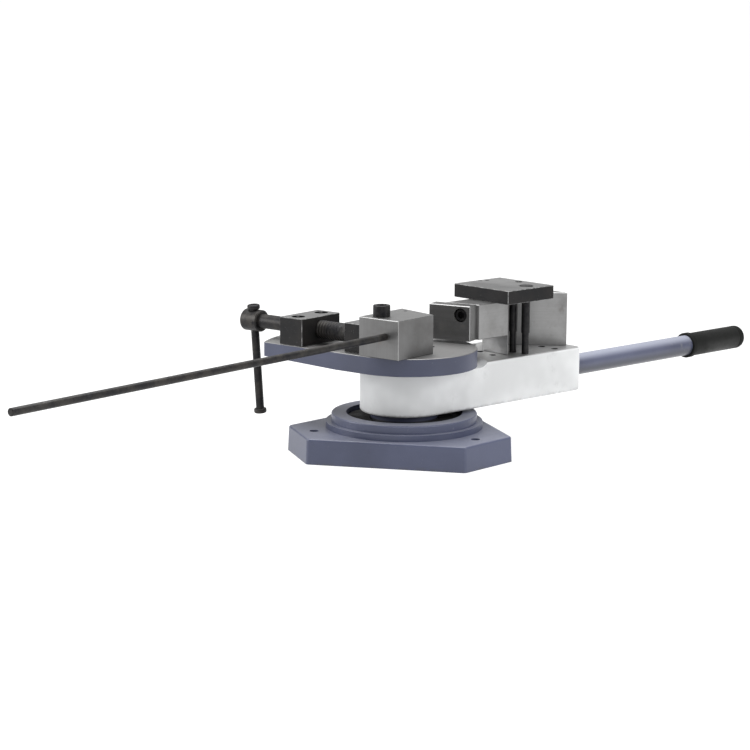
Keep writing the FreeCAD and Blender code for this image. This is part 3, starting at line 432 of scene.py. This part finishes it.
def zinc_plate():
    """Passivated zinc: pale, faintly yellow, with a fine spangle."""
    paint = Paint("zinc_plate")
    spangle = paint.cells(420.0)
    bloom = paint.noise(70.0, 5.0, 0.6).ramp(0.45, 0.7)
    tone = paint.mix(spangle.ramp(0.1, 0.8), (0.50, 0.49, 0.43, 1.0), (0.63, 0.61, 0.52, 1.0))
    tone = paint.mix(bloom * 0.3, tone, grey(0.44))
    return paint.finish(Base_Color=tone, Roughness=0.28 + bloom * 0.22, Metallic=0.9,
                        Normal=paint.bump(spangle, 0.00006, 0.3))


def bronze():
    """Bearing bronze, brown where oil has sat on it."""
    paint = Paint("bronze")
    oil = paint.noise(50.0, 5.0, 0.65).ramp(0.35, 0.7)
    pore = paint.cells(900.0).ramp(0.0, 0.2)
    tone = paint.mix(oil, (0.47, 0.29, 0.115, 1.0), (0.20, 0.11, 0.045, 1.0))
    tone = paint.mix(1.0 - pore, tone, grey(0.05))
    return paint.finish(Base_Color=tone, Roughness=0.3 + oil * 0.2, Metallic=0.9,
                        Normal=paint.bump(pore, 0.00008, 0.4))


# ---- rubber and felt ----------------------------------------------------------------------------
def grip_rubber():
    """Moulded rubber: fine leather-like pebble, shiny where the palm rubs, dusty in the hollows."""
    paint = Paint("grip_rubber")
    pebble = paint.cells(950.0)
    dust = paint.noise(60.0, 6.0, 0.7).ramp(0.48, 0.75)
    palm = paint.noise(13.0, 3.0).ramp(0.4, 0.65)
    tone = paint.mix(dust * 0.4, (0.006, 0.0065, 0.006, 1.0), (0.018, 0.019, 0.017, 1.0))
    rough = 0.60 - palm * 0.16 + dust * 0.12
    relief = paint.bump(pebble * 0.5 + paint.noise(300.0, 4.0) * 0.4, 0.0003, 0.45)
    return paint.finish(Base_Color=tone, Roughness=rough, Normal=relief, Specular_IOR_Level=0.15)


def seal_felt():
    """Oil-soaked black felt in the base's ring."""
    paint = Paint("seal_felt")
    fuzz = paint.noise(1400.0, 6.0, 0.75)
    wet = paint.noise(45.0, 4.0).ramp(0.4, 0.65)
    tone = paint.mix(fuzz.ramp(0.35, 0.7), (0.006, 0.006, 0.0065, 1.0), (0.020, 0.019, 0.018, 1.0))
    return paint.finish(Base_Color=tone, Roughness=0.85 - wet * 0.3, Normal=paint.bump(fuzz, 0.0004, 0.6))


# ---- modelling helpers --------------------------------------------------------------------------
def add(operator, name, **settings):
    bpy.ops.object.select_all(action="DESELECT")
    operator(**settings)
    made = bpy.context.active_object
    made.name = made.data.name = name
    return made


def pick(made, test):
    """Leaves edit mode, selects the faces whose middle passes the test, and goes back in."""
    bpy.ops.object.mode_set(mode="EDIT")
    bpy.ops.mesh.select_mode(type="FACE")
    bpy.ops.mesh.select_all(action="DESELECT")
    bpy.ops.object.mode_set(mode="OBJECT")
    for face in made.data.polygons:
        face.select = test(face.center, face.normal)
    bpy.ops.object.mode_set(mode="EDIT")


def draw_out(height, radius, profile):
    """Draws the picked cap through heights and radii, as a turner follows a profile."""
    for new_height, new_radius in profile:
        move = {"value": (0, 0, new_height - height)}
        bpy.ops.mesh.extrude_region_move(TRANSFORM_OT_translate=move)
        factor = new_radius / radius
        bpy.ops.transform.resize(value=(factor, factor, 1), center_override=(0, 0, new_height))
        height, radius = new_height, new_radius


def done(made, material, body, angle=35.0):
    bpy.ops.object.mode_set(mode="EDIT")
    bpy.ops.mesh.select_all(action="SELECT")
    bpy.ops.mesh.normals_make_consistent(inside=False)
    bpy.ops.object.mode_set(mode="OBJECT")
    bpy.ops.object.shade_smooth_by_angle(angle=math.radians(angle))
    made.data.materials.clear()
    made.data.materials.append(material)
    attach(made, body)
    return made


def apply_modifier(made, kind, **settings):
    modifier = made.modifiers.new(kind.lower(), kind)
    for key, value in settings.items():
        setattr(modifier, key, value)
    bpy.ops.object.modifier_apply(modifier=modifier.name)


def reach(node, direction):
    """Lowest and highest point of a CAD node along a direction."""
    places = [vertex.co.dot(direction) for vertex in NODES[node].data.vertices]
    return min(places), max(places)


def lay_along(made, start, direction):
    """Turns a piece built up the Z axis so that it lies along the direction, and puts it in place."""
    turn = Vector((0, 0, 1)).rotation_difference(direction).to_matrix().to_4x4()
    made.matrix_world = Matrix.Translation(start) @ turn
    bpy.ops.object.transform_apply(location=True, rotation=True, scale=True)


# ---- pieces made here ---------------------------------------------------------------------------
def rubber_sleeve(material):
    """The lever's grip: a lipped sleeve with one shallow groove and a domed end with a vent."""
    low, high = reach("lever_grip", ALONG_ARM)
    length = high - low - 0.3 * MM
    box_low, box_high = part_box("lever_grip")
    lip = (box_high[2] - box_low[2]) / 2 - 0.15 * MM
    radius = lip - 1.5 * MM
    bore, lip_end, dome = 16.3 * MM, 9.0 * MM, 8.4 * MM
    groove = length - 16.5 * MM
    made = add(bpy.ops.mesh.primitive_cylinder_add, "rubber_sleeve", vertices=72, radius=lip,
               depth=lip_end, location=(0, 0, lip_end / 2), end_fill_type="NGON")
    bpy.ops.object.transform_apply(location=True, rotation=True, scale=True)
    outside = [(lip_end, radius), (groove, radius), (groove + 0.6 * MM, radius - 0.4 * MM),
               (groove + 1.6 * MM, radius - 0.4 * MM), (groove + 2.2 * MM, radius), (length - dome, radius)]
    for i in range(1, 9):
        turn = math.radians(90 * i / 8)
        outside.append((length - dome + dome * math.sin(turn), radius - dome * (1 - math.cos(turn))))
    vent = [(length, 2.6 * MM), (length - 0.9 * MM, 2.2 * MM)]
    pick(made, lambda c, n: n.z > 0.9)
    draw_out(lip_end, lip, outside + vent)
    pick(made, lambda c, n: n.z < -0.9)
    draw_out(0.0, lip, [(0.0, bore), (length - 14.0 * MM, bore)])
    bpy.ops.object.mode_set(mode="OBJECT")
    apply_modifier(made, "BEVEL", width=0.35 * MM, segments=2, limit_method="ANGLE",
                   angle_limit=math.radians(50))
    side = sum(reach("lever_tube", ACROSS_ARM)) / 2
    level = (box_low[2] + box_high[2]) / 2
    start = ALONG_ARM * (low + 0.15 * MM) + ACROSS_ARM * side + Vector((0, 0, level))
    lay_along(made, start, ALONG_ARM)
    done(made, material, "arm")
    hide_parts("lever_grip")
    return made


def felt_seal(material):
    """A felt ring that closes the gap between the base's ring and its boss."""
    outer, inner = RECESS_WALL - 0.6 * MM, RECESS_BOSS + 0.5 * MM
    top, bottom = RECESS_FLOOR + 8.5 * MM, RECESS_FLOOR + 0.2 * MM
    made = add(bpy.ops.mesh.primitive_cylinder_add, "felt_seal", vertices=128, radius=outer,
               depth=top - bottom, location=(0, 0, (top + bottom) / 2), end_fill_type="NGON")
    bpy.ops.object.transform_apply(location=True, rotation=True, scale=True)
    pick(made, lambda c, n: abs(n.z) > 0.9)
    bpy.ops.mesh.inset(thickness=outer - inner)
    bpy.ops.mesh.bridge_edge_loops()
    bpy.ops.object.mode_set(mode="OBJECT")
    apply_modifier(made, "BEVEL", width=1.6 * MM, segments=4, limit_method="ANGLE",
                   angle_limit=math.radians(40))
    done(made, material, "base")
    return made


# ---- dress the CAD nodes ------------------------------------------------------------------------
def dress():
    black = screw_black()
    turned = turned_steel()
    bearing = bronze()
    plated = zinc_plate()
    lever = lever_blue()
    table_black = black_block("block_black", TABLE_TURN)
    rod_black = black_bar("rod_black", TABLE_TURN, (700.0, 9.0, 700.0), 0.10)
    bar_black = black_bar("bar_black", TABLE_TURN, (500.0, 500.0, 12.0), 0.10)
    paints = {
        "base_casting": cast_blue(), "table_plate": table_blue(), "swing_arm": arm_white(),
        "lever_tube": lever, "lever_plug": lever, "pivot_shaft": turned,
        "shaft_washer": plated, "shaft_nut": plated, "grease_nipple": plated,
        "lower_thrust_washer": bearing, "upper_thrust_washer": bearing,
        "lower_bush": bearing, "upper_bush": bearing,
        "anvil_block": ground_steel("anvil_ground", TABLE_TURN, 0.155, (900.0, 900.0, 9.0), True, 0.45),
        "vee_block": ground_steel("vee_ground", ARM_TURN, 0.25, (12.0, 12.0, 600.0), False),
        "jaw_plate": ground_steel("jaw_ground", ARM_TURN + math.radians(19.0), 0.155, (900.0, 12.0, 600.0)),
        "anvil_dowels": turned, "vee_block_dowels": turned,
        "nut_block": table_black, "pusher_block": table_black,
        "top_plate": black_block("plate_black", ARM_TURN),
        "clamp_spindle": black_bar("spindle_black", TABLE_TURN, (9.0, 700.0, 700.0), 0.10, spindle_thread),
        "spindle_hub": bar_black, "tommy_bar": bar_black, "tommy_knobs": bar_black, "stop_rod": rod_black,
        "lever_grip": grip_rubber(),
    }
    for name, node in NODES.items():
        node.data.materials.clear()
        node.data.materials.append(paints.get(name, black))
        smooth(node)
    return paints


def smooth(node):
    bpy.ops.object.select_all(action="DESELECT")
    node.select_set(True)
    bpy.context.view_layer.objects.active = node
    bpy.ops.object.shade_smooth_by_angle(angle=math.radians(28))


# ---- room, light and camera ---------------------------------------------------------------------
def white_floor():
    made = add(bpy.ops.mesh.primitive_plane_add, "floor", size=300.0, location=(0, 0, -0.0005))
    material = bpy.data.materials.new("floor_white")
    material.use_nodes = True
    shader = next(n for n in material.node_tree.nodes if n.type == "BSDF_PRINCIPLED")
    shader.inputs["Base Color"].default_value = grey(0.20)
    shader.inputs["Roughness"].default_value = 0.9
    shader.inputs["Specular IOR Level"].default_value = 0.05
    shader.inputs["Emission Color"].default_value = grey(1.0)
    shader.inputs["Emission Strength"].default_value = 0.90
    made.data.materials.append(material)


def soft_light(name, place, target, size, power):
    data = bpy.data.lights.new(name, "AREA")
    data.shape = "RECTANGLE"
    data.size, data.size_y = size
    data.energy = power
    light = bpy.data.objects.new(name, data)
    bpy.context.scene.collection.objects.link(light)
    light.location = place
    light.rotation_mode = "QUATERNION"
    light.rotation_quaternion = (Vector(target) - Vector(place)).to_track_quat("-Z", "Y")


def studio():
    world = bpy.data.worlds.new("studio")
    bpy.context.scene.world = world
    world.use_nodes = True
    background = next(n for n in world.node_tree.nodes if n.type == "BACKGROUND")
    background.inputs["Color"].default_value = (1.0, 1.0, 1.0, 1.0)
    background.inputs["Strength"].default_value = 0.50
    soft_light("top_box", (-0.2, 0.25, 2.4), (0, 0, 0.1), (2.6, 2.6), 98.0)
    soft_light("left_box", (-2.3, -0.5, 1.0), (0, 0, 0.12), (1.0, 1.2), 34.0)
    soft_light("right_box", (2.3, -0.9, 1.1), (0, 0, 0.12), (1.0, 1.2), 24.0)
    bpy.context.scene.view_settings.view_transform = "Standard"


def camera():
    heading, pitch, roll = (math.radians(angle) for angle in (12.8, -10.485, 0.284))
    data = bpy.data.cameras.new("camera")
    data.lens = 104.35
    data.sensor_width = 36.0
    data.clip_end = 500.0
    made = bpy.data.objects.new("camera", data)
    bpy.context.scene.collection.objects.link(made)
    turn = (Matrix.Rotation(heading, 4, "Z") @ Matrix.Rotation(math.pi / 2 + pitch, 4, "X")
            @ Matrix.Rotation(roll, 4, "Z"))
    made.matrix_world = Matrix.Translation((0.6334, -2.9773, 0.6726)) @ turn
    bpy.context.scene.camera = made


PAINTS = dress()
rubber_sleeve(PAINTS["lever_grip"])
felt_seal(seal_felt())
white_floor()
studio()
camera()
bpy.context.view_layer.update()
